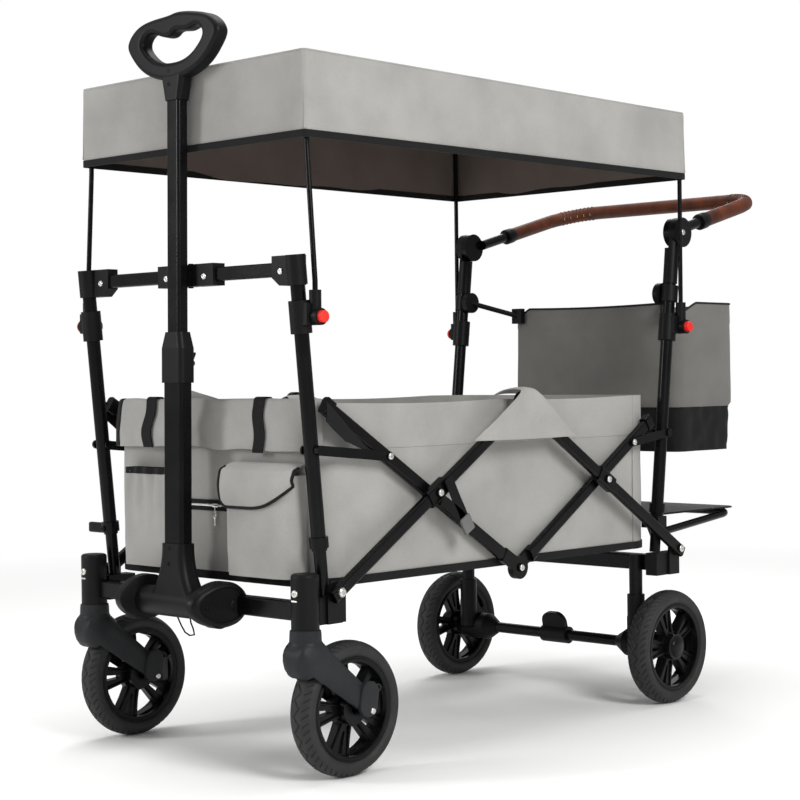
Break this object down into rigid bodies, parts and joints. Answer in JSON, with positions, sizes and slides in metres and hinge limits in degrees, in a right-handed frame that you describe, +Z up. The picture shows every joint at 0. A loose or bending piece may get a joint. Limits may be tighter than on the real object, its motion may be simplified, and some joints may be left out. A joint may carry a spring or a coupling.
{
  "type": "folding pull wagon",
  "caption": "Folding pull wagon with a telescopic pull handle, scissor side frames, a fabric basket, a removable canopy, a push bar and swivel front casters.",
  "frame": {"origin": "centre of the footprint's bounding box on the ground", "axes": "+Z up, -X to the front where the pull handle is, -Y to the wagon's left"},
  "size_m": [1.312, 0.584, 1.157],
  "materials": {
    "black_tube": "gloss powder coat",
    "black_plastic": "moulded, matte",
    "steel_pin": "zinc plated",
    "rim_plastic": "moulded, satin",
    "tyre_rubber": "treaded rubber",
    "grey_cloth": "woven polyester",
    "black_cloth": "woven polyester",
    "brown_leather": "smooth, stitched",
    "red_plastic": "moulded"
  },
  "bodies": {
    "front_frame": {"front_posts": "black_tube", "caster_housings": "black_plastic", "front_feet": "black_plastic", "front_lower_rail": "black_tube", "front_corner_brackets": "black_plastic", "front_crossbar_tubes": "black_tube", "front_crossbar_hinge": "black_plastic", "front_canopy_sockets": "black_plastic", "handle_bracket": "black_plastic", "front_pins": "steel_pin", "basket_front_panel": "grey_cloth", "front_pockets": "grey_cloth", "basket_sides": "grey_cloth"},
    "caster_left": {"caster_fork_left": "black_plastic"},
    "caster_right": {"caster_fork_right": "black_plastic"},
    "front_wheel_left": {"front_tyre_left": "tyre_rubber", "front_rim_left": "rim_plastic"},
    "front_wheel_right": {"front_tyre_right": "tyre_rubber", "front_rim_right": "rim_plastic"},
    "pull_handle": {"handle_yoke": "black_plastic", "handle_outer_tube": "black_tube", "handle_collar": "black_plastic"},
    "pull_slider": {"handle_inner_tube": "black_tube", "handle_grip": "black_plastic"},
    "latch": {"handle_latch": "black_plastic"},
    "front_rising": {"front_rising_bars": "black_tube"},
    "front_falling": {"front_falling_bars": "black_tube"},
    "rear_rising": {"rear_rising_bars": "black_tube"},
    "rear_falling": {"rear_falling_bars": "black_tube"},
    "front_link": {"front_links": "black_tube"},
    "rear_link": {"rear_links": "black_tube"},
    "front_floor": {"floor_board_front": "black_cloth"},
    "rear_floor": {"floor_board_rear": "black_cloth"},
    "rear_frame": {"rear_posts": "black_tube", "rear_canopy_sockets": "black_plastic", "bag_brackets": "black_plastic", "rear_lower_rail": "black_tube", "rear_feet": "black_plastic", "rear_legs": "black_tube", "rear_axle": "black_tube", "push_stems": "black_plastic", "basket_rear_panel": "grey_cloth", "rear_bag": "grey_cloth", "tray_hinges": "black_plastic"},
    "rear_wheel_left": {"rear_tyre_left": "tyre_rubber", "rear_rim_left": "rim_plastic"},
    "rear_wheel_right": {"rear_tyre_right": "tyre_rubber", "rear_rim_right": "rim_plastic"},
    "push_handle": {"push_handle_bar": "black_tube", "push_handle_leather": "brown_leather"},
    "brake": {"brake_pedal": "black_plastic"},
    "tray": {"tray_frame": "black_tube", "tray_panel": "black_cloth"},
    "canopy": {"canopy_front_bow": "black_tube", "canopy_cover": "grey_cloth"},
    "canopy_rear": {"canopy_rear_bow": "black_tube"},
    "button_front_left": {"canopy_button_front_left": "red_plastic"},
    "button_front_right": {"canopy_button_front_right": "red_plastic"},
    "button_rear_left": {"canopy_button_rear_left": "red_plastic"},
    "button_rear_right": {"canopy_button_rear_right": "red_plastic"}
  },
  "joints": [
    {"name": "fold", "type": "hinge", "parent": "front_frame", "child": "front_rising", "pos_m": [-0.554, 0, 0.279], "axis": [0, -1, 0], "range_deg": [0, 36], "deforming": ["basket_sides", "canopy_cover"]},
    {"name": "fold_front_cross", "type": "hinge", "parent": "front_rising", "child": "front_falling", "pos_m": [-0.34, 0, 0.414], "axis": [0, -1, 0], "range_deg": [-72, 0]},
    {"name": "fold_hub", "type": "hinge", "parent": "front_falling", "child": "rear_rising", "pos_m": [-0.126, 0, 0.279], "axis": [0, -1, 0], "range_deg": [0, 72]},
    {"name": "fold_rear_cross", "type": "hinge", "parent": "rear_rising", "child": "rear_falling", "pos_m": [0.088, 0, 0.414], "axis": [0, -1, 0], "range_deg": [-72, 0]},
    {"name": "fold_rear_foot", "type": "hinge", "parent": "rear_falling", "child": "rear_frame", "pos_m": [0.302, 0, 0.279], "axis": [0, -1, 0], "range_deg": [0, 36]},
    {"name": "front_link_turn", "type": "hinge", "parent": "front_frame", "child": "front_link", "pos_m": [-0.58274, 0, 0.488], "axis": [0, -1, 0], "range_deg": [0, 63.58]},
    {"name": "rear_link_turn", "type": "hinge", "parent": "rear_frame", "child": "rear_link", "pos_m": [0.28836, 0, 0.488], "axis": [0, -1, 0], "range_deg": [-81.14, 0]},
    {"name": "front_floor_lift", "type": "hinge", "parent": "front_frame", "child": "front_floor", "pos_m": [-0.5271, 0, 0.296], "axis": [0, -1, 0], "range_deg": [0, 90]},
    {"name": "rear_floor_lift", "type": "hinge", "parent": "rear_frame", "child": "rear_floor", "pos_m": [0.2261, 0, 0.296], "axis": [0, 1, 0], "range_deg": [0, 90]},
    {"name": "caster_swivel_left", "type": "hinge", "parent": "front_frame", "child": "caster_left", "pos_m": [-0.602, -0.252, 0.23], "axis": [0, 0, 1], "continuous": true},
    {"name": "front_spin_left", "type": "hinge", "parent": "caster_left", "child": "front_wheel_left", "pos_m": [-0.522, -0.252, 0.1015], "axis": [0, 1, 0], "continuous": true},
    {"name": "rear_spin_left", "type": "hinge", "parent": "rear_frame", "child": "rear_wheel_left", "pos_m": [0.292, -0.256, 0.1015], "axis": [0, 1, 0], "continuous": true},
    {"name": "caster_swivel_right", "type": "hinge", "parent": "front_frame", "child": "caster_right", "pos_m": [-0.602, 0.252, 0.23], "axis": [0, 0, 1], "continuous": true},
    {"name": "front_spin_right", "type": "hinge", "parent": "caster_right", "child": "front_wheel_right", "pos_m": [-0.522, 0.252, 0.1015], "axis": [0, 1, 0], "continuous": true},
    {"name": "rear_spin_right", "type": "hinge", "parent": "rear_frame", "child": "rear_wheel_right", "pos_m": [0.292, 0.256, 0.1015], "axis": [0, 1, 0], "continuous": true},
    {"name": "pull_swing", "type": "hinge", "parent": "front_frame", "child": "pull_handle", "pos_m": [-0.632, 0, 0.251], "axis": [0, -1, 0], "range_deg": [0, 75]},
    {"name": "pull_telescope", "type": "slide", "parent": "pull_handle", "child": "pull_slider", "axis": [0.014, 0, 0.9999], "range_m": [-0.245, 0]},
    {"name": "latch_press", "type": "hinge", "parent": "pull_handle", "child": "latch", "pos_m": [-0.60736, 0, 0.61869], "axis": [0, -1, 0], "range_deg": [0, 8], "stiffness_Nm_per_rad": 0.5},
    {"name": "canopy_lift", "type": "slide", "parent": "front_frame", "child": "canopy", "axis": [0, 0, 1], "range_m": [0, 0.06]},
    {"name": "canopy_rear_lift", "type": "slide", "parent": "rear_frame", "child": "canopy_rear", "axis": [0, 0, 1], "range_m": [0, 0.06]},
    {"name": "push_angle", "type": "hinge", "parent": "rear_frame", "child": "push_handle", "pos_m": [0.34, 0, 0.85], "axis": [0, -1, 0], "range_deg": [-30, 60]},
    {"name": "brake_press", "type": "hinge", "parent": "rear_frame", "child": "brake", "pos_m": [0.292, 0, 0.1015], "axis": [0, 1, 0], "range_deg": [0, 20]},
    {"name": "tray_fold", "type": "hinge", "parent": "rear_frame", "child": "tray", "pos_m": [0.298, 0, 0.33], "axis": [0, -1, 0], "range_deg": [0, 85], "deforming": ["rear_bag"]},
    {"name": "front_left_button", "type": "slide", "parent": "front_frame", "child": "button_front_left", "axis": [0, 1, 0], "range_m": [0, 0.004], "stiffness_N_per_m": 600},
    {"name": "front_right_button", "type": "slide", "parent": "front_frame", "child": "button_front_right", "axis": [0, -1, 0], "range_m": [0, 0.004], "stiffness_N_per_m": 600},
    {"name": "rear_left_button", "type": "slide", "parent": "rear_frame", "child": "button_rear_left", "axis": [0, 1, 0], "range_m": [0, 0.004], "stiffness_N_per_m": 600},
    {"name": "rear_right_button", "type": "slide", "parent": "rear_frame", "child": "button_rear_right", "axis": [0, -1, 0], "range_m": [0, 0.004], "stiffness_N_per_m": 600}
  ],
  "couplings": [
    {"joint": "fold_front_cross", "follows": "fold", "ratio": -2},
    {"joint": "fold_hub", "follows": "fold", "ratio": 2},
    {"joint": "fold_rear_cross", "follows": "fold", "ratio": -2},
    {"joint": "fold_rear_foot", "follows": "fold", "ratio": 1},
    {"joint": "front_link_turn", "follows": "fold", "ratio": 1.7659},
    {"joint": "rear_link_turn", "follows": "fold", "ratio": -2.2538},
    {"joint": "front_floor_lift", "follows": "fold", "ratio": 2.5},
    {"joint": "rear_floor_lift", "follows": "fold", "ratio": 2.5},
    {"joint": "canopy_rear_lift", "follows": "canopy_lift", "ratio": 1}
  ]
}
